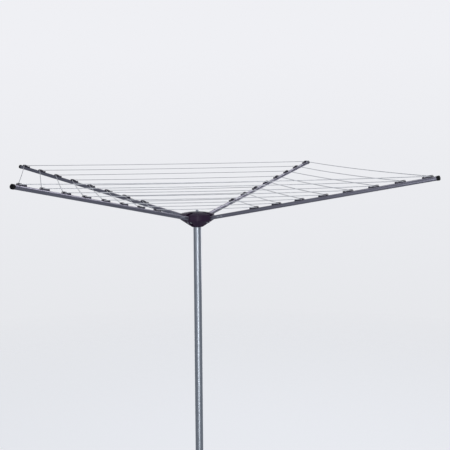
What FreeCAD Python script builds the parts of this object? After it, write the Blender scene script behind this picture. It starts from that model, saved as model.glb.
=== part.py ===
import FreeCAD, Part

import math
import os

import Sketcher

# Rotary clothesline, open. Millimetres, +Z up. The origin is on the mast's axis at ground level.
# Heights in the head are measured from the point where the four arm axes meet the mast's axis.
# An arm is drawn along +X in its own frame, tilted by the arm's rise and turned to its place.

DIMENSIONS = {
    # arms
    "head_height": 1600,
    "arm_rise": 11.25,
    "arm_radius": 11,
    "arm_bore": 10,
    "arm_start": 96,
    "arm_end": 1444,
    # line clips and line
    "clip_first": 1409,
    "clip_pitch": 143.1,
    "clip_width": 12,
    "clip_seat": 11.05,
    "clip_deck": 15.2,
    "line_rise": 15.2,
    "line_radius": 1.8,
    "line_bend": 11,
    "clip_rivet_place": -29.5,
    "clip_rivet_radius": 1.9,
    "clip_rivet_head": 3.1,
    "clip_hole_gap": 0.1,
    "clip_rivet_rise": 1.1,
    "clip_rivet_crown": 0.5,
    "clip_rivet_end": 8,
    "clip_heel": -43,
    "clip_toe": 12.4,
    "clip_skirt": 8,
    "clip_lip": 14.8,
    "knob_top": 18.4,
    "knob_flare": 1.4,
    "heel_knob_start": -41.4,
    "heel_knob_end": -36.8,
    "tunnel_start": -5.5,
    "tunnel_end": 3.5,
    "tunnel_floor": 12.9,
    "tunnel_top": 17.6,
    "hook_throat": 5.2,
    "hook_tip": 10.8,
    "hook_nose": 19,
    "hook_underside": 16.4,
    "hook_crest": 3.4,
    "hook_top": 20.8,
    "block_crest": -10.6,
    "block_top": 20.6,
    "block_shoulder": -13.4,
    "block_shoulder_top": 17.8,
    "block_foot": -21.2,
    "block_end": -22.6,
    "clip_rounding": 0.8,
    # end cap
    "end_cap_radius": 12.3,
    "end_cap_length": 8,
    "end_cap_skirt": 6,
    "end_cap_round_length": 3,
    "end_cap_round_height": 3.2,
    "end_cap_bulge_length": 0.9,
    "end_cap_bulge_height": 1,
    "plug_gap": 0.1,
    "plug_length": 14,
    # arm shoe and pivot
    "pivot_reach": 71,
    "pivot_drop": 3.5,
    "pin_radius": 4,
    "pin_running_gap": 0.05,
    "pin_length": 44,
    "shoe_width": 16,
    "shoe_boss": 9,
    "shoe_heel": 1,
    "ferrule_length": 12,
    "finger_start": 36,
    "finger_top": 21.8,
    "finger_root": 61,
    "finger_bottom": 11,
    "spigot_end": 188,
    "shoe_rivet_radius": 2.4,
    "shoe_rivet_first": 150,
    "shoe_rivet_second": 174,
    "shoe_rivet_head": 4.2,
    "shoe_rivet_rise": 1.6,
    "washer_radius": 9.6,
    "washer_gap": 0.2,
    # head
    "hub_radius": 98.5,
    "hub_shoulder": 8,
    "funnel_radius": 95,
    "funnel_top": 4,
    "neck_radius": 34,
    "neck_height": 36,
    "hub_bottom": 38,
    "hub_foot_radius": 30,
    "rim_top": 34.5,
    "crown_top": 41.5,
    "recess_radius": 42.8,
    "seat_top": 22,
    "seat_bottom": 18,
    "slot_width": 24,
    "slot_mouth_rounding": 1.5,
    "slot_start": 26,
    "slot_end": 112,
    "lobe_wall": 4,
    "cavity_inner": 54,
    "cavity_floor": 6,
    "well_outer": 60,
    "well_inner": 46,
    "well_floor": 10,
    "stud_radius": 5,
    "stud_gap": 0.3,
    "plate_radius": 42.4,
    "plate_thickness": 3,
    "cover_slot_start": 43,
    "cover_radius": 99.5,
    "cover_edge": 38,
    "cover_shoulder_radius": 56,
    "cover_shoulder": 46.8,
    "cover_top": 50,
    "boss_radius": 13,
    "screw_circle": 48.4,
    "screw_radius": 1.9,
    "screw_head_radius": 3.6,
    "screw_length": 14,
    "screw_sink": 1.5,
    "screw_head_height": 2,
    "screw_hole_gap": 0.1,
    "screw_seat_gap": 0.2,
    "recess_length": 4,
    "recess_width": 1,
    "recess_depth": 0.8,
    "boss_depth": 4,
    "nut_flats": 16,
    "nut_height": 6,
    "nut_dome": 4,
    "nut_washer_radius": 10.5,
    "nut_washer_thickness": 1.2,
    "nut_washer_gap": 0.1,
    "nut_shoulder": 0.5,
    "nut_dome_bulge": 5.6,
    "nut_dome_share": 0.7,
    # mast
    "mast_radius": 22.5,
    "mast_bore": 21,
    "mast_top": 17,
    "mast_bottom": -330,
    "plug_depth": 30,
    "foot_thickness": 5,
    "foot_flat": 10,
    "foot_hollow": 3,
    "foot_chamfer": 2,
    # ground socket
    "socket_radius": 30,
    "socket_bore": 27.5,
    "socket_bottom": -350,
    "socket_top": 12,
    "end_cap_depth": 5,
    "socket_shoulder": 0,
    "socket_neck_radius": 29.2,
    "bush_gap": 0.07,
    "bush_lead": 1.5,
    "upper_bush_depth": 70,
    "lower_bush_height": 60,
    "lower_bush_floor": 4.95,
    "collar_radius": 44,
    "collar_height": 20,
    "collar_skirt": 6,
    "collar_crown": 9,
    "collar_bulge_in": 4,
    "collar_bulge_up": 5.5,
    "collar_gap": 1,
}

ARM_NAMES = "abcd"
CLIPS_PER_ARM = 8
QUARTER = 90
FULL_TURN = 360
SLACK = 0.05
SHEET_NAME = "Dims"
NUT_CORNERS = 6

document = FreeCAD.newDocument("rotary_clothesline")
sheet = document.addObject("Spreadsheet::Sheet", SHEET_NAME)
for row, (alias, value) in enumerate(DIMENSIONS.items(), start=1):
    sheet.set("A%d" % row, alias)
    sheet.set("B%d" % row, str(value))
    sheet.setAlias("B%d" % row, alias)
document.recompute()

nodes = []


# ---- reading the sheet ----

def full(expression):
    """Put the sheet's name before every alias in an expression."""
    words = []
    word = ""
    for letter in str(expression) + " ":
        if letter.isalnum() or letter in "_.":
            word += letter
            continue
        words.append(SHEET_NAME + "." + word if word in DIMENSIONS else word)
        words.append(letter)
        word = ""
    return "".join(words).strip()


def size(expression):
    """The value of an expression in the sheet's aliases."""
    return float(sheet.evalExpression(full(expression)))


def bind(thing, path, expression):
    """Drive one property of an object from the sheet."""
    thing.setExpression(path, full(expression))


# ---- sketches ----

def new_body(label):
    """An empty body, which becomes one sub-part."""
    body = document.addObject("PartDesign::Body", label)
    body.Label = label
    return body


def new_sketch(body, name, plane, offset=None):
    """A sketch on one of the body's own origin planes, lifted off it by an offset."""
    sketch = body.newObject("Sketcher::SketchObject", name)
    support = [feature for feature in body.Origin.OriginFeatures if feature.Role == plane]
    sketch.AttachmentSupport = (support[0], [""])
    sketch.MapMode = "FlatFace"
    if offset is not None:
        bind(sketch, ".AttachmentOffset.Base.z", offset)
    return sketch


def pin_point(sketch, edge, end, x, y):
    """Hold one point of a sketch at a place given by two expressions."""
    across = Sketcher.Constraint("DistanceX", -1, 1, edge, end, size(x))
    bind(sketch, "Constraints[%d]" % sketch.addConstraint(across), x)
    upward = Sketcher.Constraint("DistanceY", -1, 1, edge, end, size(y))
    bind(sketch, "Constraints[%d]" % sketch.addConstraint(upward), y)


def add_outline(sketch, points):
    """Draw a closed outline. A point (x, y, x_mid, y_mid) starts an arc through its middle point."""
    first = sketch.GeometryCount
    count = len(points)
    for index, point in enumerate(points):
        following = points[(index + 1) % count]
        start = FreeCAD.Vector(size(point[0]), size(point[1]), 0)
        end = FreeCAD.Vector(size(following[0]), size(following[1]), 0)
        if len(point) == 4:
            middle = FreeCAD.Vector(size(point[2]), size(point[3]), 0)
            sketch.addGeometry(Part.Arc(start, middle, end))
        else:
            sketch.addGeometry(Part.LineSegment(start, end))
    for index, point in enumerate(points):
        edge = first + index
        previous = first + (index - 1) % count
        corner = FreeCAD.Vector(size(point[0]), size(point[1]), 0)
        start = end_near(sketch, edge, corner)
        join = Sketcher.Constraint(
            "Coincident", previous, end_near(sketch, previous, corner), edge, start)
        sketch.addConstraint(join)
        pin_point(sketch, edge, start, point[0], point[1])
        if len(point) == 4:
            pin_arc(sketch, edge, point[2], point[3])


def pin_arc(sketch, edge, x, y):
    """Make an arc pass through a point given by two expressions."""
    marker = sketch.addGeometry(Part.Point(FreeCAD.Vector(size(x), size(y), 0)), True)
    sketch.addConstraint(Sketcher.Constraint("PointOnObject", marker, 1, edge))
    pin_point(sketch, marker, 1, x, y)


def end_near(sketch, edge, corner):
    """Which end of a sketch edge, 1 or 2, lies at a corner."""
    return 1 if sketch.getPoint(edge, 1).distanceToPoint(corner) < SLACK else 2


def add_circle(sketch, x, y, radius):
    """Draw a circle whose centre and radius come from the sheet."""
    centre = FreeCAD.Vector(size(x), size(y), 0)
    edge = sketch.addGeometry(Part.Circle(centre, FreeCAD.Vector(0, 0, 1), size(radius)))
    if size(x) == 0 and size(y) == 0:
        sketch.addConstraint(Sketcher.Constraint("Coincident", edge, 3, -1, 1))
    else:
        pin_point(sketch, edge, 3, x, y)
    round_size = sketch.addConstraint(Sketcher.Constraint("Radius", edge, size(radius)))
    bind(sketch, "Constraints[%d]" % round_size, radius)


# ---- features ----

def pad(body, sketch, length, side="One side", backwards=False):
    """Add a sketch's outline pushed out to a length."""
    feature = body.newObject("PartDesign::Pad", sketch.Name + "_pad")
    feature.Profile = sketch
    bind(feature, "Length", length)
    feature.SideType = side
    feature.Reversed = backwards
    document.recompute()
    return feature


def pocket(body, sketch, length, side="Symmetric", backwards=False):
    """Cut a sketch's outline to a depth, and make sure that it cuts something."""
    before = body.Shape.Volume
    feature = body.newObject("PartDesign::Pocket", sketch.Name + "_pocket")
    feature.Profile = sketch
    feature.Type = "Length"
    bind(feature, "Length", length)
    feature.SideType = side
    feature.Reversed = backwards
    document.recompute()
    if not body.Shape.Volume < before:
        raise ValueError("%s cuts nothing" % feature.Label)
    return feature


def revolve(body, sketch, axis):
    """Turn a sketch's outline a full turn about one of its own axes."""
    feature = body.newObject("PartDesign::Revolution", sketch.Name + "_turned")
    feature.Profile = sketch
    feature.ReferenceAxis = (sketch, [axis])
    feature.Angle = FULL_TURN
    document.recompute()
    return feature


def four_times(body, feature):
    """Repeat a feature at every quarter turn about the body's Z axis."""
    pattern = body.newObject("PartDesign::PolarPattern", feature.Name + "_four")
    pattern.Originals = [feature]
    axis = [line for line in body.Origin.OriginFeatures if line.Role == "Z_Axis"]
    pattern.Axis = (axis[0], [""])
    pattern.Angle = FULL_TURN
    pattern.Occurrences = len(ARM_NAMES)
    body.Tip = pattern
    document.recompute()
    return pattern


def round_edges(body, radius, wanted):
    """Fillet the edges of a body that pass a test, to a radius from the sheet."""
    base = body.Tip
    names = []
    for index, edge in enumerate(base.Shape.Edges, start=1):
        if wanted(edge):
            names.append("Edge%d" % index)
    feature = body.newObject("PartDesign::Fillet", body.Name + "_fillet")
    feature.Base = (base, names)
    bind(feature, "Radius", radius)
    document.recompute()
    return feature


def finish(piece, label, placement=None):
    """Name a sub-part, put it in its place and list it for writing."""
    piece.Label = label
    if placement is not None:
        piece.Placement = placement
    nodes.append(piece)
    return piece


def group(label, shapes, placement):
    """Separate solids of one kind that share a node."""
    feature = document.addObject("Part::Feature", label)
    feature.Shape = Part.makeCompound(shapes)
    return finish(feature, label, placement)


# ---- places ----

def head_placement(azimuth=0):
    """The head's own frame, turned about the mast."""
    turn = FreeCAD.Rotation(FreeCAD.Vector(0, 0, 1), azimuth)
    return FreeCAD.Placement(FreeCAD.Vector(0, 0, size("head_height")), turn)


def arm_placement(azimuth):
    """An arm's own frame: X along the arm, Y to its side, Z out of its top."""
    tilt = FreeCAD.Rotation(FreeCAD.Vector(0, 1, 0), -size("arm_rise"))
    return head_placement(azimuth) * FreeCAD.Placement(FreeCAD.Vector(), tilt)


def along(reach, height):
    """Distance along the arm of a point given by its reach from the mast and its height."""
    return "(%s) * cos(arm_rise * 1 deg) + (%s) * sin(arm_rise * 1 deg)" % (reach, height)


def above(reach, height):
    """Height above the arm's axis of a point given by its reach and its height."""
    return "(%s) * cos(arm_rise * 1 deg) - (%s) * sin(arm_rise * 1 deg)" % (height, reach)


def clip_place(index):
    """Distance of a clip along the arm, as an expression."""
    return "clip_first - %d * clip_pitch" % index


# ---- ground socket ----

def make_ring(label, outer, inner, bottom, height):
    """A plain tube that stands on Z, from expressions."""
    body = new_body(label)
    sketch = new_sketch(body, label + "_section", "XY_Plane", bottom)
    add_circle(sketch, "0", "0", outer)
    add_circle(sketch, "0", "0", inner)
    pad(body, sketch, height)
    return body


def make_turned(label, points):
    """A body turned about Z from an outline of reach and height."""
    body = new_body(label)
    sketch = new_sketch(body, label + "_profile", "XZ_Plane")
    add_outline(sketch, points)
    revolve(body, sketch, "V_Axis")
    return body


def make_socket():
    """The sleeve that is set in the ground, its end cap, collar and bushes."""
    sleeve = make_turned("socket_sleeve", [
        ("socket_bore", "socket_bottom + end_cap_depth"),
        ("socket_radius", "socket_bottom + end_cap_depth"),
        ("socket_radius", "socket_shoulder"),
        ("socket_neck_radius", "socket_shoulder"),
        ("socket_neck_radius", "socket_top"),
        ("socket_bore", "socket_top"),
    ])
    finish(sleeve, "socket_sleeve")
    cap = make_turned("socket_end_cap", [
        ("0", "socket_bottom"),
        ("socket_radius", "socket_bottom"),
        ("socket_radius", "socket_bottom + end_cap_depth"),
        ("socket_bore", "socket_bottom + end_cap_depth"),
        ("socket_bore", "socket_bottom + 2 * end_cap_depth"),
        ("0", "socket_bottom + 2 * end_cap_depth"),
    ])
    finish(cap, "socket_end_cap")
    lower_floor = "socket_bottom + 2 * end_cap_depth"
    lower = make_turned("lower_bush", [
        ("0", lower_floor),
        ("socket_bore", lower_floor),
        ("socket_bore", lower_floor + " + lower_bush_height"),
        ("mast_radius + bush_lead", lower_floor + " + lower_bush_height"),
        ("mast_radius + bush_gap", lower_floor + " + lower_bush_height - bush_lead"),
        ("mast_radius + bush_gap", lower_floor + " + lower_bush_floor"),
        ("0", lower_floor + " + lower_bush_floor"),
    ])
    finish(lower, "lower_bush")
    upper = make_turned("upper_bush", [
        ("mast_radius + bush_gap", "socket_top - upper_bush_depth"),
        ("socket_bore", "socket_top - upper_bush_depth"),
        ("socket_bore", "socket_top"),
        ("mast_radius + bush_lead", "socket_top"),
        ("mast_radius + bush_gap", "socket_top - bush_lead"),
    ])
    finish(upper, "upper_bush")
    collar = make_turned("socket_collar", [
        ("socket_neck_radius", "socket_top - collar_skirt"),
        ("collar_radius", "socket_top - collar_skirt"),
        ("collar_radius", "socket_top",
         "collar_radius - collar_bulge_in", "socket_top + collar_bulge_up"),
        ("collar_radius - collar_crown", "collar_height"),
        ("mast_radius + collar_gap", "collar_height"),
        ("mast_radius + collar_gap", "socket_top"),
        ("socket_neck_radius", "socket_top"),
    ])
    finish(collar, "socket_collar")


# ---- mast and head ----

def make_mast():
    """The mast tube, its foot and the plug with the stud at its top."""
    mast = make_ring(
        "mast_tube", "mast_radius", "mast_bore", "mast_bottom", "head_height + mast_top - mast_bottom")
    finish(mast, "mast_tube")
    foot = make_turned("mast_foot", [
        ("0", "mast_bottom - foot_thickness + foot_hollow"),
        ("foot_flat", "mast_bottom - foot_thickness"),
        ("mast_radius - foot_chamfer", "mast_bottom - foot_thickness"),
        ("mast_radius", "mast_bottom - foot_thickness + foot_chamfer"),
        ("mast_radius", "mast_bottom"),
        ("mast_bore", "mast_bottom"),
        ("mast_bore", "mast_bottom + plug_depth"),
        ("0", "mast_bottom + plug_depth"),
    ])
    finish(foot, "mast_foot")
    stud = make_turned("head_stud", [
        ("0", "mast_top - plug_depth"),
        ("mast_bore", "mast_top - plug_depth"),
        ("mast_bore", "mast_top"),
        ("mast_radius", "mast_top"),
        ("mast_radius", "seat_bottom"),
        ("stud_radius", "seat_bottom"),
        ("stud_radius", "cover_top + nut_washer_thickness + nut_height"),
        ("0", "cover_top + nut_washer_thickness + nut_height"),
    ])
    finish(stud, "head_stud", head_placement())


def cut_slots(body, start):
    """Cut the four radial slots that the arms swing in."""
    sketch = new_sketch(body, body.Name + "_slot", "XY_Plane")
    add_outline(sketch, [
        (start, "-slot_width / 2"),
        ("slot_end", "-slot_width / 2"),
        ("slot_end", "slot_width / 2"),
        (start, "slot_width / 2"),
    ])
    four_times(body, pocket(body, sketch, "4 * cover_top"))


def cut_lobes(body, name, inner, outer, floor, top):
    """Hollow the four lobes down to a floor, leaving a wall beside every slot."""
    side = "slot_width / 2 + lobe_wall"
    sketch = new_sketch(body, name, "XY_Plane", top)
    low = "sqrt((%s) ^ 2 - (%s) ^ 2)" % (inner, side)
    high = "sqrt((%s) ^ 2 - (%s) ^ 2)" % (outer, side)
    middle = "(%s) * cos(45 deg)"
    add_outline(sketch, [
        (low, side),
        (high, side, middle % outer, middle % outer),
        (side, high),
        (side, low, middle % inner, middle % inner),
    ])
    four_times(body, pocket(body, sketch, "(%s) - (%s)" % (top, floor), "One side"))


def make_hub_body():
    """The funnel-shaped head: four hollow lobes round a socket for the mast."""
    body = make_turned("hub_body", [
        ("mast_radius", "-hub_bottom"),
        ("hub_foot_radius", "-hub_bottom"),
        ("neck_radius", "-neck_height"),
        ("funnel_radius", "funnel_top"),
        ("hub_radius", "hub_shoulder"),
        ("hub_radius", "rim_top"),
        ("recess_radius", "crown_top"),
        ("recess_radius", "seat_top"),
        ("stud_radius + stud_gap", "seat_top"),
        ("stud_radius + stud_gap", "seat_bottom"),
        ("mast_radius", "seat_bottom"),
    ])
    cut_slots(body, "slot_start")
    cut_lobes(body, "cavity", "cavity_inner", "hub_radius - lobe_wall", "cavity_floor", "crown_top")
    cut_lobes(body, "well", "well_inner", "well_outer", "-well_floor", "cavity_floor")
    pin_holes = new_sketch(body, "pin_holes", "XZ_Plane")
    add_circle(pin_holes, "pivot_reach", "-pivot_drop", "pin_radius")
    four_times(body, pocket(body, pin_holes, "pin_length"))
    screw_holes = new_sketch(body, "screw_holes", "XY_Plane", "crown_top")
    diagonal = "screw_circle * cos(45 deg)"
    add_circle(screw_holes, diagonal, diagonal, "screw_radius")
    four_times(body, pocket(body, screw_holes, "screw_length", "One side"))
    round_edges(body, "slot_mouth_rounding", is_slot_mouth)
    finish(body, "hub_body", head_placement())


def is_slot_mouth(edge):
    """True for the outer upright corners where a slot opens through the head's side."""
    box = edge.BoundBox
    upright = box.ZLength > size("hub_shoulder") and max(box.XLength, box.YLength) < SLACK
    reach = math.hypot(box.Center.x, box.Center.y)
    return upright and reach > size("funnel_radius")


def make_stop_plate():
    """The steel disc over the seat, which the arms' fingers bear up against."""
    plate = make_ring(
        "stop_plate", "plate_radius", "stud_radius + stud_gap", "seat_top", "plate_thickness")
    finish(plate, "stop_plate", head_placement())


def make_hub_cover():
    """The domed cover with its slots and screw holes."""
    plate_top = "seat_top + plate_thickness"
    body = make_turned("hub_cover", [
        ("stud_radius + stud_gap", plate_top),
        ("boss_radius", plate_top),
        ("boss_radius", "cover_top - boss_depth"),
        ("recess_radius", "crown_top"),
        ("hub_radius", "rim_top"),
        ("cover_radius", "rim_top"),
        ("cover_radius", "cover_edge", "cover_shoulder_radius", "cover_shoulder"),
        ("boss_radius", "cover_top"),
        ("stud_radius + stud_gap", "cover_top"),
    ])
    cut_slots(body, "cover_slot_start")
    holes = new_sketch(body, "cover_holes", "XY_Plane", "cover_top")
    diagonal = "screw_circle * cos(45 deg)"
    add_circle(holes, diagonal, diagonal, "screw_radius + screw_hole_gap")
    four_times(body, pocket(body, holes, "cover_top - rim_top", "One side"))
    seats = new_sketch(body, "cover_seats", "XY_Plane", "cover_top")
    add_circle(seats, diagonal, diagonal, "screw_head_radius + screw_seat_gap")
    four_times(body, pocket(body, seats, "cover_top - cover_shoulder + screw_sink", "One side"))
    finish(body, "hub_cover", head_placement())


def make_head_fasteners():
    """The four cover screws, the washer and the cap nut."""
    seat = size("cover_shoulder - screw_sink")
    height = size("screw_head_height")
    head = Part.makeCylinder(size("screw_head_radius"), height, FreeCAD.Vector(0, 0, seat))
    shank_bottom = size("crown_top - screw_length + 1")
    shank = Part.makeCylinder(
        size("screw_radius"), seat - shank_bottom, FreeCAD.Vector(0, 0, shank_bottom))
    depth = size("recess_depth")
    long_side = size("recess_length")
    short_side = size("recess_width")
    corner = FreeCAD.Vector(-long_side / 2, -short_side / 2, seat + height - depth)
    recess = Part.makeBox(long_side, short_side, 2 * depth, corner)
    cross = recess.copy()
    cross.rotate(FreeCAD.Vector(), FreeCAD.Vector(0, 0, 1), QUARTER)
    screw = head.fuse(shank).cut(recess).cut(cross)
    reach = size("screw_circle")
    screws = []
    for index in range(len(ARM_NAMES)):
        angle = math.radians(QUARTER * (index + 0.5))
        place = FreeCAD.Vector(reach * math.cos(angle), reach * math.sin(angle), 0)
        screws.append(screw.translated(place))
    group("cover_screws", screws, head_placement())

    washer = make_ring(
        "cap_washer", "nut_washer_radius", "stud_radius + nut_washer_gap", "cover_top",
        "nut_washer_thickness")
    finish(washer, "cap_washer", head_placement())

    body = new_body("cap_nut")
    hexagon = new_sketch(body, "nut_flats_outline", "XY_Plane", "cover_top + nut_washer_thickness")
    corners = []
    for index in range(NUT_CORNERS):
        turn = FULL_TURN / NUT_CORNERS * index
        corners.append((
            "nut_flats / 2 / cos(30 deg) * cos(%g deg)" % turn,
            "nut_flats / 2 / cos(30 deg) * sin(%g deg)" % turn))
    add_outline(hexagon, corners)
    add_circle(hexagon, "0", "0", "stud_radius")
    pad(body, hexagon, "nut_height")
    nut_top = "cover_top + nut_washer_thickness + nut_height"
    dome = new_sketch(body, "nut_dome_profile", "XZ_Plane")
    add_outline(dome, [
        ("0", nut_top),
        ("nut_flats / 2 - nut_shoulder", nut_top,
         "nut_dome_bulge", nut_top + " + nut_dome * nut_dome_share"),
        ("0", nut_top + " + nut_dome"),
    ])
    revolve(body, dome, "V_Axis")
    finish(body, "cap_nut", head_placement())


def make_pivots():
    """The four pivot pins and the two washers beside each arm's shoe."""
    centre = FreeCAD.Vector(size("pivot_reach"), 0, -size("pivot_drop"))
    sideways = FreeCAD.Vector(0, 1, 0)
    length = size("pin_length")
    pin = Part.makeCylinder(
        size("pin_radius"), length, centre - sideways * (length / 2), sideways)
    inner = size("shoe_width / 2 + washer_gap")
    outer = size("slot_width / 2")
    start = centre + sideways * inner
    washer = Part.makeCylinder(size("washer_radius"), outer - inner, start, sideways)
    hole = Part.makeCylinder(size("pin_radius"), outer - inner, start, sideways)
    washer = washer.cut(hole)
    other_washer = washer.mirror(FreeCAD.Vector(), sideways)
    pins = []
    washers = []
    for index in range(len(ARM_NAMES)):
        turn = FreeCAD.Placement(FreeCAD.Vector(), FreeCAD.Rotation(QUARTER * index, 0, 0))
        pins.append(pin.transformed(turn.toMatrix()))
        washers.append(washer.transformed(turn.toMatrix()))
        washers.append(other_washer.transformed(turn.toMatrix()))
    group("pivot_pins", pins, head_placement())
    group("pivot_washers", washers, head_placement())


# ---- arms ----

def make_arm_tube(name, place):
    """One arm: a tube with holes for the clips' rivets and the shoe's rivets."""
    body = new_body("arm_tube_" + name)
    section = new_sketch(body, "tube_section_" + name, "YZ_Plane", "arm_start")
    add_circle(section, "0", "0", "arm_radius")
    add_circle(section, "0", "0", "arm_bore")
    pad(body, section, "arm_end - arm_start")
    clip_holes = new_sketch(body, "clip_holes_" + name, "XY_Plane")
    for index in range(CLIPS_PER_ARM):
        add_circle(clip_holes, clip_place(index) + " + clip_rivet_place", "0", "clip_rivet_radius")
    pocket(body, clip_holes, "2 * arm_radius", "One side", backwards=True)
    cut_shoe_rivets(body, name)
    finish(body, "arm_tube_" + name, place)


def cut_shoe_rivets(body, name):
    """Drill the two cross holes for the rivets that hold the tube on its shoe."""
    holes = new_sketch(body, body.Name + "_rivet_holes", "XZ_Plane")
    for place in ("shoe_rivet_first", "shoe_rivet_second"):
        add_circle(holes, place, "0", "shoe_rivet_radius")
    pocket(body, holes, "4 * arm_radius")


def make_end_cap(name, place):
    """The cap that closes an arm's tip."""
    body = new_body("end_cap_" + name)
    sketch = new_sketch(body, "end_cap_profile_" + name, "XZ_Plane")
    inside = "arm_bore - plug_gap"
    tip = "arm_end + end_cap_length"
    add_outline(sketch, [
        ("arm_end - plug_length", "0"),
        ("arm_end - plug_length", inside),
        ("arm_end", inside),
        ("arm_end", "arm_radius + plug_gap / 2"),
        ("arm_end - end_cap_skirt", "arm_radius + plug_gap / 2"),
        ("arm_end - end_cap_skirt", "end_cap_radius"),
        (tip + " - end_cap_round_length", "end_cap_radius",
         tip + " - end_cap_bulge_length", "end_cap_radius - end_cap_bulge_height"),
        (tip, "end_cap_radius - end_cap_round_height"),
        (tip, "0"),
    ])
    revolve(body, sketch, "H_Axis")
    finish(body, "end_cap_" + name, place)


def make_arm_shoe(name, place):
    """The moulded root of an arm: spigot, lug with the pivot bore, and stop finger."""
    body = new_body("arm_shoe_" + name)
    side = new_sketch(body, "shoe_side_" + name, "XZ_Plane")
    pivot = ("pivot_reach", "-pivot_drop")
    corners = []
    for reach, height in (
            ("finger_start", "finger_top"),
            ("finger_start", "finger_bottom"),
            ("pivot_reach - shoe_boss - shoe_heel", "-pivot_drop"),
            ("pivot_reach + shoe_boss - shoe_heel", "-pivot_drop - shoe_heel")):
        corners.append((along(reach, height), above(reach, height)))
    corners.append(("arm_start", "-arm_radius"))
    corners.append(("arm_start", "arm_radius"))
    corners.append((along("finger_root", "finger_top"), above("finger_root", "finger_top")))
    add_outline(side, corners)
    pad(body, side, "shoe_width", "Symmetric")
    boss = new_sketch(body, "shoe_boss_" + name, "XZ_Plane")
    add_circle(boss, along(*pivot), above(*pivot), "shoe_boss")
    pad(body, boss, "shoe_width", "Symmetric")
    ferrule = new_sketch(body, "shoe_ferrule_" + name, "YZ_Plane", "arm_start")
    add_circle(ferrule, "0", "0", "arm_radius")
    pad(body, ferrule, "ferrule_length", backwards=True)
    spigot = new_sketch(body, "shoe_spigot_" + name, "YZ_Plane", "arm_start")
    add_circle(spigot, "0", "0", "arm_bore - plug_gap")
    pad(body, spigot, "spigot_end - arm_start")
    bore = new_sketch(body, "shoe_bore_" + name, "XZ_Plane")
    add_circle(bore, along(*pivot), above(*pivot), "pin_radius + pin_running_gap")
    pocket(body, bore, "2 * shoe_width")
    cut_shoe_rivets(body, name)
    finish(body, "arm_shoe_" + name, place)


def shoe_rivet_shapes():
    """The two rivets that cross an arm's tube and its shoe's spigot."""
    rivets = []
    half = size("arm_radius")
    rise = size("shoe_rivet_rise")
    sideways = FreeCAD.Vector(0, 1, 0)
    for place in ("shoe_rivet_first", "shoe_rivet_second"):
        start = FreeCAD.Vector(size(place), -half - rise, 0)
        head = Part.makeCylinder(
            size("shoe_rivet_head"), 2 * (half + rise), start, sideways)
        tube = Part.makeCylinder(half, 4 * half, FreeCAD.Vector(size(place) - 2 * half, 0, 0),
                                 FreeCAD.Vector(1, 0, 0))
        heads = head.cut(tube)
        shank = Part.makeCylinder(
            size("shoe_rivet_radius"), 2 * (half + rise / 2),
            FreeCAD.Vector(size(place), -half - rise / 2, 0), sideways)
        rivets.append(heads.fuse(shank).removeSplitter())
    return rivets


def make_clip_master():
    """One line clip about its own place on the arm: hook over the line, step, rivet seat and tail knob."""
    body = new_body("clip_master")
    side = new_sketch(body, "clip_side", "XZ_Plane")
    add_outline(side, [
        ("clip_heel", "clip_skirt"),
        ("clip_toe", "clip_skirt"),
        ("clip_toe", "clip_lip"),
        ("tunnel_end", "clip_deck"),
        ("tunnel_end", "tunnel_floor"),
        ("tunnel_start", "tunnel_floor"),
        ("tunnel_start", "tunnel_top"),
        ("tunnel_end", "tunnel_top"),
        ("hook_throat", "hook_underside"),
        ("hook_tip", "hook_underside"),
        ("hook_tip", "hook_nose"),
        ("hook_crest", "hook_top"),
        ("block_crest", "block_top"),
        ("block_shoulder", "block_shoulder_top"),
        ("block_foot", "block_shoulder_top"),
        ("block_end", "clip_deck"),
        ("heel_knob_end + knob_flare", "clip_deck"),
        ("heel_knob_end", "knob_top"),
        ("heel_knob_start", "knob_top"),
        ("clip_heel", "clip_lip"),
    ])
    pad(body, side, "clip_width", "Symmetric")
    seat = new_sketch(body, "clip_seat_outline", "YZ_Plane")
    add_circle(seat, "0", "0", "clip_seat")
    pocket(body, seat, "3 * (clip_toe - clip_heel)")
    hole = new_sketch(body, "clip_rivet_hole", "XY_Plane")
    add_circle(hole, "clip_rivet_place", "0", "clip_rivet_radius + clip_hole_gap")
    pocket(body, hole, "2 * arm_radius", "One side", backwards=True)
    round_edges(body, "clip_rounding", is_clip_corner)
    return body


def is_clip_corner(edge):
    """True for the crosswise edges on top of the clip that a hand can reach."""
    box = edge.BoundBox
    crosswise = abs(box.YLength - size("clip_width")) < SLACK and box.XLength < SLACK
    on_hook = box.Center.z > size("hook_nose") - SLACK
    on_tail = box.Center.z > size("block_shoulder_top") - SLACK and box.Center.x < size("tunnel_start") - SLACK
    return crosswise and (on_hook or on_tail)


def clip_rivet_shape():
    """One clip rivet, with its shank through the arm's wall."""
    head_seat = size("clip_deck")
    rise = size("clip_rivet_rise")
    head = Part.makeCylinder(size("clip_rivet_head"), rise, FreeCAD.Vector(0, 0, head_seat))
    shank_bottom = size("clip_rivet_end")
    shank = Part.makeCylinder(
        size("clip_rivet_radius"), head_seat - shank_bottom, FreeCAD.Vector(0, 0, shank_bottom))
    rivet = head.fuse(shank)
    rim = [edge for edge in rivet.Edges if edge.BoundBox.ZMin > head_seat + rise / 2]
    return rivet.makeFillet(size("clip_rivet_crown"), rim)


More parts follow.
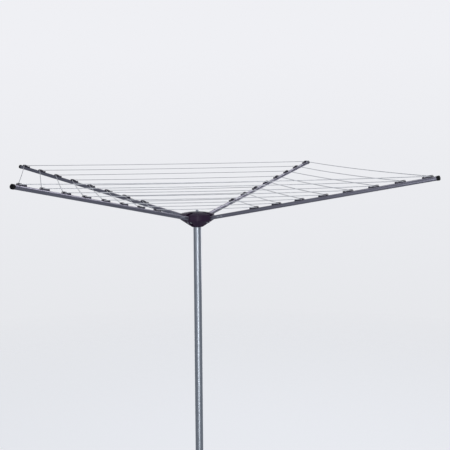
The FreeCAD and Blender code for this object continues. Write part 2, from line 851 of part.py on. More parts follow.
def line_shape(index):
    """The stretch of line that one clip holds, out to mid-span on both sides."""
    rise = math.radians(size("arm_rise"))
    bend = size("line_bend")
    place = size(clip_place(index))
    lift = size("line_rise")
    crossing = place * math.cos(rise) - lift * math.sin(rise)
    height = place * math.sin(rise) + lift * math.cos(rise)
    corner = crossing + bend * (math.sqrt(2) - 1)
    slope = math.sqrt(0.5)
    middle = FreeCAD.Vector(corner / 2, corner / 2, height)
    leave = FreeCAD.Vector(corner - bend * slope, bend * slope, height)
    arrive = FreeCAD.Vector(leave.x, -leave.y, height)
    far = FreeCAD.Vector(middle.x, -middle.y, height)
    over = FreeCAD.Vector(crossing, 0, height)
    path = Part.Wire([
        Part.LineSegment(far, arrive).toShape(),
        Part.Arc(arrive, over, leave).toShape(),
        Part.LineSegment(leave, middle).toShape(),
    ])
    section = Part.Wire(Part.Circle(
        far, FreeCAD.Vector(slope, slope, 0), size("line_radius")).toShape())
    tube = path.makePipeShell([section], True, True)
    expected = math.pi * size("line_radius") ** 2 * path.Length
    if abs(tube.Volume / expected - 1) > 0.001:
        raise ValueError("the line's volume does not match its length")
    print("line %d: %.0f mm long, bend radius %.1f mm" % (index + 1, path.Length, bend))
    return tube, path.Length


def make_arms():
    """All four arms with what is fixed to them."""
    clip = make_clip_master()
    rivet = clip_rivet_shape()
    shoe_rivets = shoe_rivet_shapes()
    clips = []
    clip_rivets = []
    lines = []
    line_length = 0
    for index in range(CLIPS_PER_ARM):
        place = size(clip_place(index))
        clips.append(clip.Shape.translated(FreeCAD.Vector(place, 0, 0)))
        clip_rivets.append(rivet.translated(FreeCAD.Vector(place + size("clip_rivet_place"), 0, 0)))
        line, length = line_shape(index)
        lines.append(line)
        line_length += length
    for turn, name in enumerate(ARM_NAMES):
        azimuth = QUARTER * turn
        place = arm_placement(azimuth)
        make_arm_tube(name, place)
        make_end_cap(name, place)
        make_arm_shoe(name, place)
        group("shoe_rivets_" + name, shoe_rivets, place)
        group("line_clips_" + name, clips, place)
        group("clip_rivets_" + name, clip_rivets, place)
        group("washing_line_" + name, lines, head_placement(azimuth))
    print("washing line: %.2f m in all" % (line_length * len(ARM_NAMES) / 1000))


# ---- checks and writing ----

def check_objects():
    """Stop if any object failed to recompute."""
    for thing in document.Objects:
        if "Invalid" in thing.State or "Error" in thing.State:
            raise ValueError("%s failed: %s" % (thing.Label, thing.State))


def write_nodes():
    """Write each sub-part's shape to its own file."""
    os.makedirs("parts", exist_ok=True)
    for node in nodes:
        if node.Shape.isNull() or not node.Shape.isValid():
            raise ValueError("%s has no valid shape" % node.Label)
        node.Shape.exportStep("parts/%s.step" % node.Label)
    print("%d nodes written" % len(nodes))


make_socket()
make_mast()
make_hub_body()
make_stop_plate()
make_hub_cover()
make_head_fasteners()
make_pivots()
make_arms()
document.recompute()
check_objects()
write_nodes()
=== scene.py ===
"""Looks of the rotary clothesline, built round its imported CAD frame. Lengths are in metres."""

import logging
import math
from dataclasses import dataclass, field
from enum import Enum

import bmesh
import bpy
from mathutils import Matrix, Vector


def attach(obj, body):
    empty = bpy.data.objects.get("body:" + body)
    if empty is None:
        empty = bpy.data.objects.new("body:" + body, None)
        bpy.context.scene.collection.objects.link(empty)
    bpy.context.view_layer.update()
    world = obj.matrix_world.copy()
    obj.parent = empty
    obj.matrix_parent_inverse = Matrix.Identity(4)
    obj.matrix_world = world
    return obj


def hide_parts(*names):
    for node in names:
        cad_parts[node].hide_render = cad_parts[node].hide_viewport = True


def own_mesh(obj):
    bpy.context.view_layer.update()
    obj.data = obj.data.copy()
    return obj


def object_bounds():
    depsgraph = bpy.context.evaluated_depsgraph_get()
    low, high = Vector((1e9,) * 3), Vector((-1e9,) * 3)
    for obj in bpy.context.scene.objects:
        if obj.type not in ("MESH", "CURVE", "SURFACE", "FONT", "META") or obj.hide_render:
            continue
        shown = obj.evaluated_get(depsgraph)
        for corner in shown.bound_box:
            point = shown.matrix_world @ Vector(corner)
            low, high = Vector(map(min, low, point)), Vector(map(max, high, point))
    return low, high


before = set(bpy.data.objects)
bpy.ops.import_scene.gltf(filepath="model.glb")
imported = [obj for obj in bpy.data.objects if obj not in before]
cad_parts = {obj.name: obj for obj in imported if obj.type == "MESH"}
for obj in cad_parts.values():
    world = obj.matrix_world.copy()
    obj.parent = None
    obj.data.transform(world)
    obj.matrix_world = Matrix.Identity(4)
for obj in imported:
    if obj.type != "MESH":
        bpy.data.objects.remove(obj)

CAD_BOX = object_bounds()
LOG = logging.getLogger("clothesline")

Colour = tuple[float, float, float]
Socket = bpy.types.NodeSocket

# a Mix node's colour sockets share their names with its number sockets, so they go by place
MIX_FIRST = 6
MIX_SECOND = 7
MIX_RESULT = 2
BEVEL_SAMPLES = 4
LINE_ORDER = 3
DAYLIGHT: Colour = (0.94, 0.97, 1.0)
VIOLET_LIGHT: Colour = (0.97, 0.95, 1.0)
ROSE_LIGHT: Colour = (0.99, 0.97, 1.0)
PALE_LIGHT: Colour = (0.98, 0.98, 1.0)
WHITE: Colour = (1.0, 1.0, 1.0)


class Arm(Enum):
    """The four arms, by the quarter turn at which each leaves the head."""

    A = 0
    B = 1
    C = 2
    D = 3

    @property
    def letter(self) -> str:
        """The letter that ends this arm's node names."""
        return self.name.lower()

    @property
    def body(self) -> str:
        """The CAD body that this arm is."""
        return f"arm_{self.letter}"

    @property
    def joint(self) -> str:
        """The joint that folds this arm."""
        return f"arm_{self.letter}_fold"

    @property
    def turn(self) -> Matrix:
        """The rotation from arm A's place to this arm's."""
        return Matrix.Rotation(math.radians(90) * self.value, 4, "Z")


class Side(Enum):
    """The two sides of an arm that its line leaves from."""

    LEFT = 1
    RIGHT = -1

    @property
    def word(self) -> str:
        """This side's word in a piece's name."""
        return self.name.lower()


# ---------------------------------------------------------------- finishes


class Surface:
    """One material and its shader, with short ways to add the nodes that a finish needs."""

    def __init__(self, name: str) -> None:
        """Starts a material with a bare principled shader.

        Args:
            name: the material's name.
        """
        self.material = bpy.data.materials.new(name)
        self.material.use_nodes = True
        self.tree = self.material.node_tree
        self.tree.nodes.clear()
        self.shader = self.node("ShaderNodeBsdfPrincipled")
        output = self.node("ShaderNodeOutputMaterial")
        self.join(self.shader.outputs["BSDF"], output.inputs["Surface"])
        self.place = self.node("ShaderNodeTexCoord").outputs["Object"]

    def node(self, kind: str) -> bpy.types.Node:
        """A new node of that kind in this material."""
        return self.tree.nodes.new(kind)

    def join(self, start: Socket, end: Socket) -> None:
        """Links two sockets."""
        self.tree.links.new(start, end)

    def stretched(self, scale: Colour, place: Socket | None = None) -> Socket:
        """The place on the object, scaled by axis.

        Args:
            scale: how much finer the pattern is along each axis.
            place: the coordinates to scale, or None for the object's own.

        Returns:
            The scaled coordinates.
        """
        mapping = self.node("ShaderNodeMapping")
        mapping.inputs["Scale"].default_value = scale
        self.join(place or self.place, mapping.inputs["Vector"])
        return mapping.outputs["Vector"]

    def noise(self, scale: float, detail: float = 3.0, place: Socket | None = None) -> Socket:
        """A noise pattern from 0 to 1.

        Args:
            scale: repeats per metre.
            detail: how many finer layers it has.
            place: the coordinates it reads, or None for the object's own.

        Returns:
            The noise's value.
        """
        texture = self.node("ShaderNodeTexNoise")
        texture.inputs["Scale"].default_value = scale
        texture.inputs["Detail"].default_value = detail
        self.join(place or self.place, texture.inputs["Vector"])
        return texture.outputs["Fac"]

    def cells(self, scale: float, place: Socket | None = None) -> Socket:
        """Crystal-like cells, each of one random grey.

        Args:
            scale: cells per metre.
            place: the coordinates it reads, or None for the object's own.

        Returns:
            The cells' grey value.
        """
        texture = self.node("ShaderNodeTexVoronoi")
        texture.inputs["Scale"].default_value = scale
        self.join(place or self.place, texture.inputs["Vector"])
        grey = self.node("ShaderNodeSeparateColor")
        self.join(texture.outputs["Color"], grey.inputs["Color"])
        return grey.outputs["Red"]

    def spread(
        self, value: Socket, low: float, high: float, start: float = 0.3, end: float = 0.7
    ) -> Socket:
        """Maps a pattern to a range.

        Args:
            value: the pattern.
            low: what its start becomes.
            high: what its end becomes.
            start: the pattern's value that gives low.
            end: the pattern's value that gives high.

        Returns:
            The mapped value.
        """
        mapped = self.node("ShaderNodeMapRange")
        limits = {"From Min": start, "From Max": end, "To Min": low, "To Max": high}
        for name, number in limits.items():
            mapped.inputs[name].default_value = number
        self.join(value, mapped.inputs["Value"])
        return mapped.outputs["Result"]

    def sum(self, first: Socket, second: Socket, share: float = 1.0) -> Socket:
        """One pattern plus a share of another.

        Args:
            first: a pattern.
            second: the pattern to add.
            share: how much of the second is added.

        Returns:
            The sum.
        """
        added = self.node("ShaderNodeMath")
        added.operation = "MULTIPLY_ADD"
        self.join(second, added.inputs[0])
        added.inputs[1].default_value = share
        self.join(first, added.inputs[2])
        return added.outputs["Value"]

    def blend(self, share: Socket, first: Colour, second: Colour) -> Socket:
        """A colour between two, by a pattern.

        Args:
            share: 0 gives the first colour and 1 the second.
            first: a colour, linear.
            second: a colour, linear.

        Returns:
            The blended colour.
        """
        mix = self.node("ShaderNodeMix")
        mix.data_type = "RGBA"
        self.join(share, mix.inputs["Factor"])
        mix.inputs[MIX_FIRST].default_value = (*first, 1.0)
        mix.inputs[MIX_SECOND].default_value = (*second, 1.0)
        return mix.outputs[MIX_RESULT]

    def edges(self) -> Socket:
        """How sharp an edge is here: 0.5 on a flat face, more on an outward edge."""
        return self.node("ShaderNodeNewGeometry").outputs["Pointiness"]

    def relief(self, height: Socket, depth: float, rounding: float = 0.0004) -> None:
        """Gives the surface a fine relief and softened edges.

        Args:
            height: the relief's pattern.
            depth: its real depth.
            rounding: the radius at which sharp edges look rounded off.
        """
        soft = self.node("ShaderNodeBevel")
        soft.samples = BEVEL_SAMPLES
        soft.inputs["Radius"].default_value = rounding
        bump = self.node("ShaderNodeBump")
        bump.inputs["Strength"].default_value = 1.0
        bump.inputs["Distance"].default_value = depth
        self.join(height, bump.inputs["Height"])
        self.join(soft.outputs["Normal"], bump.inputs["Normal"])
        self.join(bump.outputs["Normal"], self.shader.inputs["Normal"])

    def set(self, **values: float) -> None:
        """Sets constants on the shader's own sockets, by their names with _ for a space."""
        for name, value in values.items():
            self.shader.inputs[name.replace("_", " ")].default_value = value


def paler(colour: Colour, share: float) -> Colour:
    """The colour moved by that share towards white, or towards black if it is negative."""
    goal = 1.0 if share > 0 else 0.0
    return tuple(c + (goal - c) * abs(share) for c in colour)


@dataclass(frozen=True)
class Galvanised:
    """Hot-dipped steel tube: pale spangle, a faint cloudiness and drawing lines along the tube."""

    name: str
    colour: Colour
    roughness: float = 0.36
    unevenness: float = 0.03
    contrast: float = 0.1
    spangle: float = 130.0
    spangle_stretch: float = 0.7
    cloud: float = 14.0
    cloud_share: float = 0.45
    drawn: float = 900.0
    drawn_stretch: float = 0.012
    depth: float = 0.00002

    def build(self) -> bpy.types.Material:
        """Makes the material.

        Returns:
            The material.
        """
        s = Surface(self.name)
        lines = s.noise(self.drawn, 2.0, s.stretched((1.0, 1.0, self.drawn_stretch)))
        crystals = s.cells(self.spangle, s.stretched((1.0, 1.0, self.spangle_stretch)))
        cloud = s.noise(self.cloud, 4.0)
        grey = s.spread(crystals, 0.0, 0.35, 0.0, 1.0)
        tone = s.sum(grey, s.spread(cloud, 0.0, 1.0), self.cloud_share)
        darker, lighter = paler(self.colour, -self.contrast), paler(self.colour, self.contrast)
        s.join(s.blend(tone, darker, lighter), s.shader.inputs["Base Color"])
        low, high = self.roughness - self.unevenness, self.roughness + self.unevenness
        rough = s.sum(s.spread(crystals, low, high, 0.0, 1.0), lines, 0.05)
        s.join(rough, s.shader.inputs["Roughness"])
        s.relief(s.sum(lines, crystals, 0.4), self.depth)
        s.set(Metallic=1.0)
        return s.material


@dataclass(frozen=True)
class Coated:
    """A satin baked coating on steel, with the faint waviness of sprayed powder."""

    name: str
    colour: Colour
    roughness: float = 0.36
    unevenness: float = 0.05
    peel: float = 420.0
    grain: float = 2400.0
    cloud: float = 9.0
    darkening: float = 0.12
    paling: float = 0.05
    depth: float = 0.00005
    metallic: float = 0.9

    def build(self) -> bpy.types.Material:
        """Makes the material.

        Returns:
            The material.
        """
        s = Surface(self.name)
        peel = s.noise(self.peel, 2.0)
        grain = s.noise(self.grain, 1.0)
        cloud = s.noise(self.cloud, 4.0)
        tone = s.sum(s.spread(cloud, 0.0, 0.7), s.spread(grain, 0.0, 0.3), 1.0)
        darker, lighter = paler(self.colour, -self.darkening), paler(self.colour, self.paling)
        s.join(s.blend(tone, darker, lighter), s.shader.inputs["Base Color"])
        low, high = self.roughness - self.unevenness, self.roughness + self.unevenness
        s.join(s.spread(peel, low, high), s.shader.inputs["Roughness"])
        s.relief(s.sum(peel, grain, 0.25), self.depth)
        s.set(Metallic=self.metallic)
        return s.material


@dataclass(frozen=True)
class Moulded:
    """Injection-moulded plastic: a spark-eroded grain, faint flow marks and edges rubbed paler."""

    name: str
    colour: Colour
    roughness: float
    rubbed: float
    gloss: float = 0.5
    unevenness: float = 0.07
    darkening: float = 0.15
    grain: float = 1400.0
    flow: float = 28.0
    depth: float = 0.00004

    def build(self) -> bpy.types.Material:
        """Makes the material.

        Returns:
            The material.
        """
        s = Surface(self.name)
        grain = s.noise(self.grain, 2.0)
        flow = s.noise(self.flow, 5.0)
        wear = s.spread(s.edges(), 0.0, 1.0, 0.52, 0.6)
        tone = s.sum(s.spread(flow, 0.0, 0.5), wear, 0.5)
        darker, worn = paler(self.colour, -self.darkening), paler(self.colour, self.rubbed)
        s.join(s.blend(tone, darker, worn), s.shader.inputs["Base Color"])
        low, high = self.roughness - self.unevenness, self.roughness + self.unevenness
        s.join(s.spread(grain, low, high), s.shader.inputs["Roughness"])
        s.relief(s.sum(grain, flow, 0.3), self.depth)
        s.set(Specular_IOR_Level=self.gloss)
        return s.material


@dataclass(frozen=True)
class Plated:
    """Bright zinc plating on turned or pressed steel, with faint turning marks."""

    name: str
    colour: Colour
    low_roughness: float = 0.18
    high_roughness: float = 0.32
    haze: float = 90.0
    marks: float = 2600.0
    depth: float = 0.00001
    rounding: float = 0.0003
    metallic: float = 0.7

    def build(self) -> bpy.types.Material:
        """Makes the material.

        Returns:
            The material.
        """
        s = Surface(self.name)
        haze = s.noise(self.haze, 4.0)
        marks = s.noise(self.marks, 2.0, s.stretched((1.0, 1.0, 0.2)))
        blue = (self.colour[0] * 0.9, self.colour[1] * 0.95, self.colour[2])
        s.join(s.blend(s.spread(haze, 0.0, 1.0), self.colour, blue), s.shader.inputs["Base Color"])
        s.join(s.spread(marks, self.low_roughness, self.high_roughness), s.shader.inputs["Roughness"])
        s.relief(marks, self.depth, self.rounding)
        s.set(Metallic=self.metallic)
        return s.material


@dataclass(frozen=True)
class Sheath:
    """The line's plastic sheath, through which its laid core shows as a shallow spiral."""

    name: str
    colour: Colour
    roughness: float = 0.35
    lay: float = 0.012
    dust: float = 60.0
    dustiness: float = 0.12
    depth: float = 0.00012
    rounding: float = 0.0002

    def build(self) -> bpy.types.Material:
        """Makes the material.

        Returns:
            The material.
        """
        s = Surface(self.name)
        wrap = s.node("ShaderNodeUVMap")
        spiral = s.node("ShaderNodeTexWave")
        spiral.wave_type = "BANDS"
        spiral.bands_direction = "DIAGONAL"
        spiral.inputs["Scale"].default_value = 1.0
        spiral.inputs["Distortion"].default_value = 0.4
        s.join(s.stretched((1.0 / self.lay, 2.0, 1.0), wrap.outputs["UV"]), spiral.inputs["Vector"])
        dust = s.noise(self.dust, 4.0)
        tint = s.blend(s.spread(dust, 0.0, 1.0), self.colour, paler(self.colour, -0.08))
        s.join(tint, s.shader.inputs["Base Color"])
        rough = s.spread(dust, self.roughness, self.roughness + self.dustiness)
        s.join(rough, s.shader.inputs["Roughness"])
        s.relief(spiral.outputs["Fac"], self.depth, self.rounding)
        return s.material


FINISHES = {
    finish.name: finish
    for finish in (
        Galvanised("galvanised_steel", (0.60, 0.64, 0.70)),
        Coated("arm_coating", (0.34, 0.33, 0.405)),
        Moulded("head_plastic", (0.043, 0.017, 0.052), roughness=0.20, rubbed=0.02, gloss=0.09),
        Moulded("cap_plastic", (0.006, 0.006, 0.008), roughness=0.45, rubbed=0.02, gloss=0.12),
        Moulded("clip_plastic", (0.030, 0.022, 0.044), roughness=0.36, rubbed=0.03, gloss=0.4),
        Sheath("line_sheath", (0.80, 0.80, 0.83)),
        Plated("zinc_steel", (0.76, 0.77, 0.79)),
        Moulded("socket_plastic", (0.035, 0.038, 0.042), roughness=0.5, rubbed=0.05),
        Moulded("bush_plastic", (0.45, 0.46, 0.46), roughness=0.45, rubbed=0.2),
    )
}


class Wardrobe:
    """Builds each finish once and dresses pieces and CAD nodes in it."""

    def __init__(self) -> None:
        """Builds the materials."""
        self.materials = {slot: finish.build() for slot, finish in FINISHES.items()}

    def dress(self, piece: bpy.types.Object, slot: str) -> None:
        """Puts one finish on a piece, in place of what it had, and reports it.

        Args:
            piece: a mesh object.
            slot: the record's material slot.
        """
        piece.data.materials.clear()
        piece.data.materials.append(self.materials[slot])
        LOG.info("%s: dressed in %s", piece.name, slot)

    def dress_node(self, node: str, slot: str) -> None:
        """Puts a finish on the CAD node of that name."""
        self.dress(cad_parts[node], slot)


# ---------------------------------------------------------------- mesh tools


def line_points(route: list[Vector], resolution: int) -> list[Vector]:
    """Points along the smooth line that a route's points control.

    Args:
        route: the line's control points, its two ends among them.
        resolution: how finely each stretch is divided.

    Returns:
        Points on the line, from its start to its end.
    """
    curve = bpy.data.curves.new("route", "CURVE")
    curve.dimensions = "3D"
    spline = curve.splines.new("NURBS")
    spline.points.add(len(route) - 1)
    for point, place in zip(spline.points, route):
        point.co = (*place, 1.0)
    spline.order_u = LINE_ORDER
    spline.use_endpoint_u = True
    spline.resolution_u = resolution
    holder = bpy.data.objects.new("route", curve)
    bpy.context.scene.collection.objects.link(holder)
    line = bpy.data.meshes.new_from_object(holder)
    points = [v.co.copy() for v in line.vertices]
    bpy.data.objects.remove(holder)
    bpy.data.curves.remove(curve)
    bpy.data.meshes.remove(line)
    return points


@dataclass
class Tube:
    """Round tubes swept along lines, gathered in one mesh with a wrap-around UV map."""

    radius: float
    sides: int = 10
    corners: list[Vector] = field(default_factory=list)
    faces: list[tuple[int, ...]] = field(default_factory=list)
    wraps: list[tuple[float, float]] = field(default_factory=list)

    def sweep(self, line: list[Vector]) -> None:
        """Adds one tube, open at its ends, which lie inside a clip or against the next length.

        Args:
            line: the points of its middle line.
        """
        first = len(self.corners)
        ways = [self.way(line, i) for i in range(len(line))]
        across = ways[0].orthogonal().normalized()
        run = 0.0
        runs = []
        for i, (point, way) in enumerate(zip(line, ways)):
            across = (across - way * across.dot(way)).normalized()
            over = way.cross(across)
            run += (point - line[i - 1]).length if i else 0.0
            runs.append(run)
            for k in range(self.sides):
                turn = math.tau * k / self.sides
                out = across * math.cos(turn) + over * math.sin(turn)
                self.corners.append(point + out * self.radius)
        for i in range(len(line) - 1):
            for k in range(self.sides):
                self.wall(first, i, k, runs)

    @staticmethod
    def way(line: list[Vector], i: int) -> Vector:
        """The line's direction at its point i."""
        return (line[min(i + 1, len(line) - 1)] - line[max(i - 1, 0)]).normalized()

    def wall(self, first: int, i: int, k: int, runs: list[float]) -> None:
        """Adds one face between ring i and the next.

        Args:
            first: the index of the tube's first corner.
            i: the ring.
            k: the side.
            runs: how far along the tube each ring is.
        """
        here, there = first + i * self.sides, first + (i + 1) * self.sides
        after = (k + 1) % self.sides
        self.faces.append((here + k, here + after, there + after, there + k))
        low, high = k / self.sides, (k + 1) / self.sides
        self.wraps += [(runs[i], low), (runs[i], high), (runs[i + 1], high), (runs[i + 1], low)]

    def mesh(self, name: str) -> bpy.types.Mesh:
        """Makes the gathered mesh, smooth-shaded.

        Args:
            name: the mesh's name.

        Returns:
            The mesh.
        """
        mesh = bpy.data.meshes.new(name)
        mesh.from_pydata([tuple(c) for c in self.corners], [], self.faces)
        layer = mesh.uv_layers.new(name="wrap")
        for loop, wrap in zip(layer.data, self.wraps):
            loop.uv = wrap
        for polygon in mesh.polygons:
            polygon.use_smooth = True
        mesh.validate()
        return mesh


def add_piece(name: str, mesh: bpy.types.Mesh) -> bpy.types.Object:
    """Puts a new object in the scene.

    Args:
        name: the object's name.
        mesh: the mesh that it shows.

    Returns:
        The object.
    """
    piece = bpy.data.objects.new(name, mesh)
    bpy.context.scene.collection.objects.link(piece)
    return piece


# ---------------------------------------------------------------- the object


@dataclass(frozen=True)
class ArmStance:
    """How an open arm stands on the head, and how far it folds."""

    head_height: float = 1.6
    rise: float = math.radians(11.25)
    pivot_reach: float = 0.071
    pivot_drop: float = 0.0035
    fold: float = math.radians(76.0)

    @property
    def pivot(self) -> Vector:
        """Arm A's pivot."""
        return Vector((self.pivot_reach, 0.0, self.head_height - self.pivot_drop))

    @property
    def normal(self) -> Vector:
        """The upward direction square to arm A."""
        return Vector((-math.sin(self.rise), 0.0, math.cos(self.rise)))

    def folded(self) -> Matrix:
        """The rotation that folds arm A from open to its limit."""
        return Matrix.Rotation(-self.fold, 3, "Y")


@dataclass
class WashingLine:
    """Eight nested squares of line: two half-spans at every arm, and the bends in the clips."""

    stance: ArmStance
    radius: float = 0.0018
    squares: int = 8
    first_clip: float = 1.409
    clip_pitch: float = 0.1431
    seat_height: float = 0.0152
    bend: float = 0.011
    slack: tuple[float, float, float, float] = (0.0080, 0.0035, 0.0055, 0.0080)
    uneven_slack: float = 0.25
    slack_step: float = 2.3
    fineness: int = 12

    def crossing(self, square: int) -> Vector:
        """Where the line crosses over arm A in one square's clip.

        Args:
            square: the square, 0 the outermost.

        Returns:
            The place.
        """
        place = self.first_clip - square * self.clip_pitch
        rise = self.stance.rise
        return Vector((
            place * math.cos(rise) - self.seat_height * math.sin(rise),
            0.0,
            self.stance.head_height + place * math.sin(rise) + self.seat_height * math.cos(rise),
        ))

    def corner(self, square: int) -> Vector:
        """Where the two straight spans of a square would meet at arm A."""
        return self.crossing(square) + Vector((self.bend * (math.sqrt(2.0) - 1.0), 0.0, 0.0))

    def leaving(self, square: int, side: Side) -> Vector:
        """Where a square's line leaves its bend at arm A, on one side."""
        step = self.bend * math.sqrt(0.5)
        return self.corner(square) + Vector((-step, side.value * step, 0.0))

    def sag(self, arm: Arm, square: int, side: Side) -> float:
        """How low a span's middle hangs below its ends.

        Args:
            arm: the arm that the half-span rides on.
            square: the square, 0 the outermost.
            side: the side of the arm.

        Returns:
            The sag.
        """
        sector = arm.value if side is Side.LEFT else (arm.value - 1) % len(Arm)
        length = self.corner(square).x / self.corner(0).x
        unevenness = self.uneven_slack * math.sin(self.slack_step * square + sector)
        return self.slack[sector] * length * (1.0 + unevenness)

    def half_span(self, arm: Arm, square: int, side: Side) -> list[Vector]:
        """The route of one half-span at arm A: from its clip, hanging to the middle of the span.

        Args:
            arm: the arm that the half-span rides on, which sets its sag.
            square: the square, 0 the outermost.
            side: the side of the arm.

        Returns:
            The route's control points.
        """
        start = self.leaving(square, side)
        middle = self.corner(square).x / 2.0
        low = start.z - self.sag(arm, square, side)
        end = Vector((middle, side.value * middle, low))
        half_way = Vector(((start.x + end.x) / 2.0, (start.y + end.y) / 2.0, low))
        return [start, half_way, end]

    def hang(self, side: Side) -> Vector:
        """The direction in which a half-span gathers to its arm as the arm folds."""
        across = Vector((0.0, float(side.value), 0.0))
        return (self.stance.normal * math.sin(self.stance.rise) + across).normalized()

    def kept(self, route: list[Vector], side: Side) -> float:
        """The share of its reach that a half-span keeps when folded, so that it meets its other half.

        Args:
            route: the half-span's route at arm A.
            side: the side of the arm.

        Returns:
            The share.
        """
        mirror = Vector((1.0, -side.value, 0.0)).normalized()
        gather = self.hang(side)
        turn = self.stance.folded()
        pivot = self.stance.pivot
        off = mirror.dot(pivot + turn @ (route[-1] - pivot))
        reach = (route[-1] - route[0]).dot(gather) * mirror.dot(turn @ gather)
        return 1.0 - off / reach

    def build(self, arm: Arm, wardrobe: Wardrobe) -> None:
        """Builds one arm's bends and half-spans, and dresses them.

        Args:
            arm: the arm.
            wardrobe: the finishes.
        """
        self.build_bends(arm, wardrobe)
        for square in range(self.squares):
            for side in Side:
                self.build_half_span(arm, square, side, wardrobe)

    def build_bends(self, arm: Arm, wardrobe: Wardrobe) -> None:
        """Makes the bends of the line inside one arm's clips, as one piece that rides on the arm.

        Args:
            arm: the arm.
            wardrobe: the finishes.
        """
        tube = Tube(self.radius)
        for square in range(self.squares):
            ends = [self.leaving(square, side) for side in (Side.RIGHT, Side.LEFT)]
            route = [ends[0], self.corner(square), ends[1]]
            tube.sweep(line_points([arm.turn @ p for p in route], self.fineness))
        name = f"line_bends_{arm.letter}"
        piece = add_piece(name, tube.mesh(name))
        wardrobe.dress(piece, "line_sheath")
        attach(piece, arm.body)
        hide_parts(f"washing_line_{arm.letter}")

    def build_half_span(self, arm: Arm, square: int, side: Side, wardrobe: Wardrobe) -> None:
        """Makes one half-span, which rides on its arm.

        Args:
            arm: the arm that it rides on.
            square: the square, 0 the outermost.
            side: the side of the arm.
            wardrobe: the finishes.
        """
        route = self.half_span(arm, square, side)
        placed = [arm.turn @ p for p in route]
        tube = Tube(self.radius)
        tube.sweep(line_points(placed, 2 * self.fineness))
        name = f"line_{arm.letter}_{square + 1}_{side.word}"
        piece = add_piece(name, tube.mesh(name))
        wardrobe.dress(piece, "line_sheath")
        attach(piece, arm.body)
        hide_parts(f"washing_line_{arm.letter}")
        keep = self.kept(route, side)
        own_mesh(piece)


@dataclass
class ArmSet:
    """The four arms, each with its cap, shoe, clips and rivets."""

    slots: dict[str, str] = field(default_factory=lambda: {
        "arm_tube": "arm_coating",
        "end_cap": "cap_plastic",
        "arm_shoe": "head_plastic",
        "shoe_rivets": "zinc_steel",
        "line_clips": "clip_plastic",
        "clip_rivets": "zinc_steel",
    })

    def build(self, arm: Arm, wardrobe: Wardrobe) -> None:
        """Dresses one arm's CAD nodes."""
        for node, slot in self.slots.items():
            wardrobe.dress_node(f"{node}_{arm.letter}", slot)


@dataclass
class Head:
    """The head: its body, cover, stop plate, pivots and fasteners."""

    slots: dict[str, str] = field(default_factory=lambda: {
        "hub_body": "head_plastic",
        "hub_cover": "head_plastic",
        "stop_plate": "zinc_steel",
        "head_stud": "zinc_steel",
        "cover_screws": "zinc_steel",
        "cap_washer": "zinc_steel",
        "cap_nut": "zinc_steel",
        "pivot_pins": "zinc_steel",
        "pivot_washers": "zinc_steel",
    })

    def build(self, wardrobe: Wardrobe) -> None:
        """Dresses the head's CAD nodes."""
        for node, slot in self.slots.items():
            wardrobe.dress_node(node, slot)


@dataclass
class MastAndSocket:
    """The mast, its foot, and the ground socket that it turns in."""

    slots: dict[str, str] = field(default_factory=lambda: {
        "mast_tube": "galvanised_steel",
        "mast_foot": "bush_plastic",
        "socket_sleeve": "socket_plastic",
        "socket_end_cap": "socket_plastic",
        "lower_bush": "bush_plastic",
        "upper_bush": "bush_plastic",
        "socket_collar": "socket_plastic",
    })

    def build(self, wardrobe: Wardrobe) -> None:
        """Dresses the mast's and the socket's CAD nodes."""
        for node, slot in self.slots.items():
            wardrobe.dress_node(node, slot)


# ---------------------------------------------------------------- the studio


@dataclass(frozen=True)
class Softbox:
    """One large soft light, aimed at a point of the object."""

    name: str
    azimuth: float
    distance: float
    height: float
    width: float
    tall: float
    power: float
    colour: Colour
    aim_height: float = 1.0

    def build(self) -> None:
        """Makes the light."""
        data = bpy.data.lights.new(self.name, "AREA")
        data.shape = "RECTANGLE"
        data.size = self.width
        data.size_y = self.tall
        data.energy = self.power
        data.color = self.colour
        light = bpy.data.objects.new(self.name, data)
        bpy.context.scene.collection.objects.link(light)
        turn = math.radians(self.azimuth)
        ahead, aside = math.cos(turn), math.sin(turn)
        light.location = (self.distance * ahead, self.distance * aside, self.height)
        aim = Vector((0.0, 0.0, self.aim_height)) - light.location
        light.rotation_euler = aim.to_track_quat("-Z", "Y").to_euler()
        light.visible_camera = False


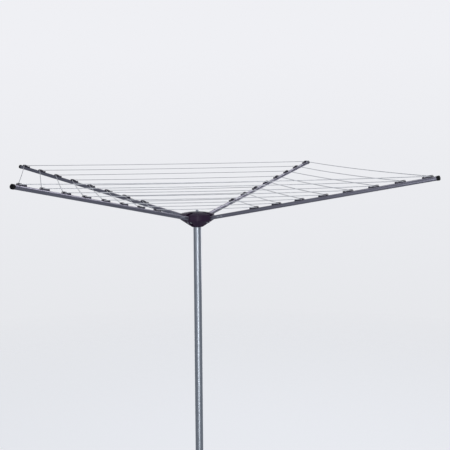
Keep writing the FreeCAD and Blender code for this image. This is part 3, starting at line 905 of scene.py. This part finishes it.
@dataclass
class Studio:
    """The pale floor, the backdrop, the lights and the room's own dim light."""

    floor_radius: float = 7.0
    floor_sides: int = 96
    floor_fade_start: float = 2.0
    floor_fade_end: float = 6.65
    floor_colour: Colour = (0.60, 0.61, 0.63)
    floor_glow: float = 0.71
    backdrop_radius: float = 40.0
    backdrop_fineness: int = 4
    # the backdrop's painted light and shade: a darker tone low down and a lighter tone high up
    tone: Colour = (0.83, 0.84, 0.87)
    low_tone: Colour = (0.795, 0.805, 0.835)
    low_tone_height: float = -8.0
    high_tone: Colour = (0.865, 0.87, 0.905)
    high_tone_height: float = 6.0
    room: Colour = (0.20, 0.215, 0.24)
    low_height: float = 3.0
    boxes: tuple[Softbox, ...] = (
        Softbox("front_box", azimuth=-50.0, distance=2.4, height=0.90, width=1.8, tall=3.0,
                power=10.0, colour=DAYLIGHT),
        Softbox("strip_box", azimuth=-51.0, distance=2.35, height=0.90, width=0.25, tall=3.0,
                power=13.0, colour=DAYLIGHT),
        Softbox("left_box", azimuth=-100.0, distance=3.45, height=1.50, width=2.2, tall=0.8,
                power=3.5, colour=VIOLET_LIGHT, aim_height=1.7),
        Softbox("right_box", azimuth=78.0, distance=3.4, height=5.0, width=2.6, tall=1.8,
                power=40.0, colour=ROSE_LIGHT, aim_height=1.7),
        Softbox("low_box", azimuth=86.0, distance=2.6, height=1.10, width=1.3, tall=0.55,
                power=4.2, colour=ROSE_LIGHT, aim_height=1.7),
        Softbox("back_box", azimuth=135.0, distance=5.0, height=1.9, width=5.5, tall=2.2,
                power=9.0, colour=PALE_LIGHT, aim_height=1.6),
        Softbox("top_box", azimuth=0.0, distance=0.01, height=5.0, width=3.0, tall=3.0,
                power=22.0, colour=WHITE),
    )

    def build(self) -> None:
        """Makes the whole studio."""
        self.light_room()
        self.build_floor()
        self.build_backdrop()
        for box in self.boxes:
            box.build()
        self.spare_floor()
        bpy.context.scene.view_settings.view_transform = "Standard"

    def light_room(self) -> None:
        """Gives the room a dim even light."""
        world = bpy.data.worlds.new("room")
        world.use_nodes = True
        world.node_tree.nodes["Background"].inputs["Color"].default_value = (*self.room, 1.0)
        bpy.context.scene.world = world

    def build_floor(self) -> None:
        """A round pale floor under the object, which fades into the backdrop."""
        turns = [math.tau * k / self.floor_sides for k in range(self.floor_sides)]
        ring = [
            (self.floor_radius * math.cos(turn), self.floor_radius * math.sin(turn), CAD_BOX[0].z)
            for turn in turns
        ]
        mesh = bpy.data.meshes.new("floor")
        mesh.from_pydata(ring, [], [tuple(range(self.floor_sides))])
        floor = add_piece("floor", mesh)
        s = Surface("floor_paint")
        s.shader.inputs["Base Color"].default_value = (*self.floor_colour, 1.0)
        s.shader.inputs["Emission Color"].default_value = (*self.tone, 1.0)
        s.set(Roughness=1.0, Specular_IOR_Level=0.0, Emission_Strength=self.floor_glow)
        away = s.node("ShaderNodeVectorMath")
        away.operation = "LENGTH"
        s.join(s.place, away.inputs[0])
        fade = s.spread(away.outputs["Value"], 1.0, 0.0, self.floor_fade_start, self.floor_fade_end)
        s.join(fade, s.shader.inputs["Alpha"])
        mesh.materials.append(s.material)
        floor.visible_diffuse = False
        floor.visible_glossy = False

    def spare_floor(self) -> None:
        """Keeps the boxes that stand near the floor from lighting it in patches."""
        spared = bpy.data.collections.new("spared_by_low_boxes")
        spared.objects.link(bpy.data.objects["floor"])
        spared.collection_objects[0].light_linking.link_state = "EXCLUDE"
        for box in self.boxes:
            if box.height < self.low_height:
                bpy.data.objects[box.name].light_linking.receiver_collection = spared

    def build_backdrop(self) -> None:
        """A pale surround that only the camera sees, with painted light and shade: a little lighter
        towards the top and darker towards the bottom.
        """
        mesh = bpy.data.meshes.new("backdrop")
        shell = add_piece("backdrop", mesh)
        form = bmesh.new()
        bmesh.ops.create_icosphere(
            form, subdivisions=self.backdrop_fineness, radius=self.backdrop_radius)
        form.to_mesh(mesh)
        form.free()
        s = Surface("backdrop_paint")
        s.shader.inputs["Base Color"].default_value = (0.0, 0.0, 0.0, 1.0)
        height = s.node("ShaderNodeSeparateXYZ")
        s.join(s.place, height.inputs["Vector"])
        # painted light and shade: the surround blends from the darker low tone to the lighter high
        # tone with height
        share = s.spread(height.outputs["Z"], 0.0, 1.0, self.low_tone_height, self.high_tone_height)
        tone = s.blend(share, self.low_tone, self.high_tone)
        s.join(tone, s.shader.inputs["Emission Color"])
        s.set(Emission_Strength=1.0, Specular_IOR_Level=0.0, Roughness=1.0)
        mesh.materials.append(s.material)
        for name in ("diffuse", "glossy", "transmission", "volume_scatter", "shadow"):
            setattr(shell, f"visible_{name}", False)


@dataclass(frozen=True)
class Viewpoint:
    """Where the camera stands and how it looks."""

    distance: float = 4.806
    azimuth: float = math.radians(-55.74)
    height: float = 2.127
    heading: float = math.radians(122.345)
    pitch: float = math.radians(-6.60)
    roll: float = math.radians(0.33)
    lens: float = 66.74
    sensor: float = 36.0

    def build(self) -> None:
        """Makes the camera and hands it to the scene."""
        data = bpy.data.cameras.new("view")
        data.lens = self.lens
        data.sensor_width = self.sensor
        camera = bpy.data.objects.new("view", data)
        bpy.context.scene.collection.objects.link(camera)
        level = Vector((math.sin(self.heading), -math.cos(self.heading), 0.0))
        ahead = Vector((math.cos(self.heading), math.sin(self.heading), math.tan(self.pitch)))
        ahead.normalize()
        up = level.cross(ahead)
        right = level * math.cos(self.roll) - up * math.sin(self.roll)
        up = right.cross(ahead)
        axes = Matrix((right, up, -ahead)).transposed()
        across, along = math.cos(self.azimuth), math.sin(self.azimuth)
        place = Vector((self.distance * across, self.distance * along, self.height))
        camera.matrix_world = Matrix.Translation(place) @ axes.to_4x4()
        bpy.context.scene.camera = camera


def main() -> None:
    """Builds the object's looks, the studio and the camera."""
    logging.basicConfig(level=logging.INFO, format="%(message)s")
    Viewpoint().build()
    wardrobe = Wardrobe()
    line = WashingLine(ArmStance())
    arms = ArmSet()
    for arm in Arm:
        line.build(arm, wardrobe)
        arms.build(arm, wardrobe)
    Head().build(wardrobe)
    MastAndSocket().build(wardrobe)
    Studio().build()


if __name__ == "__main__":
    main()
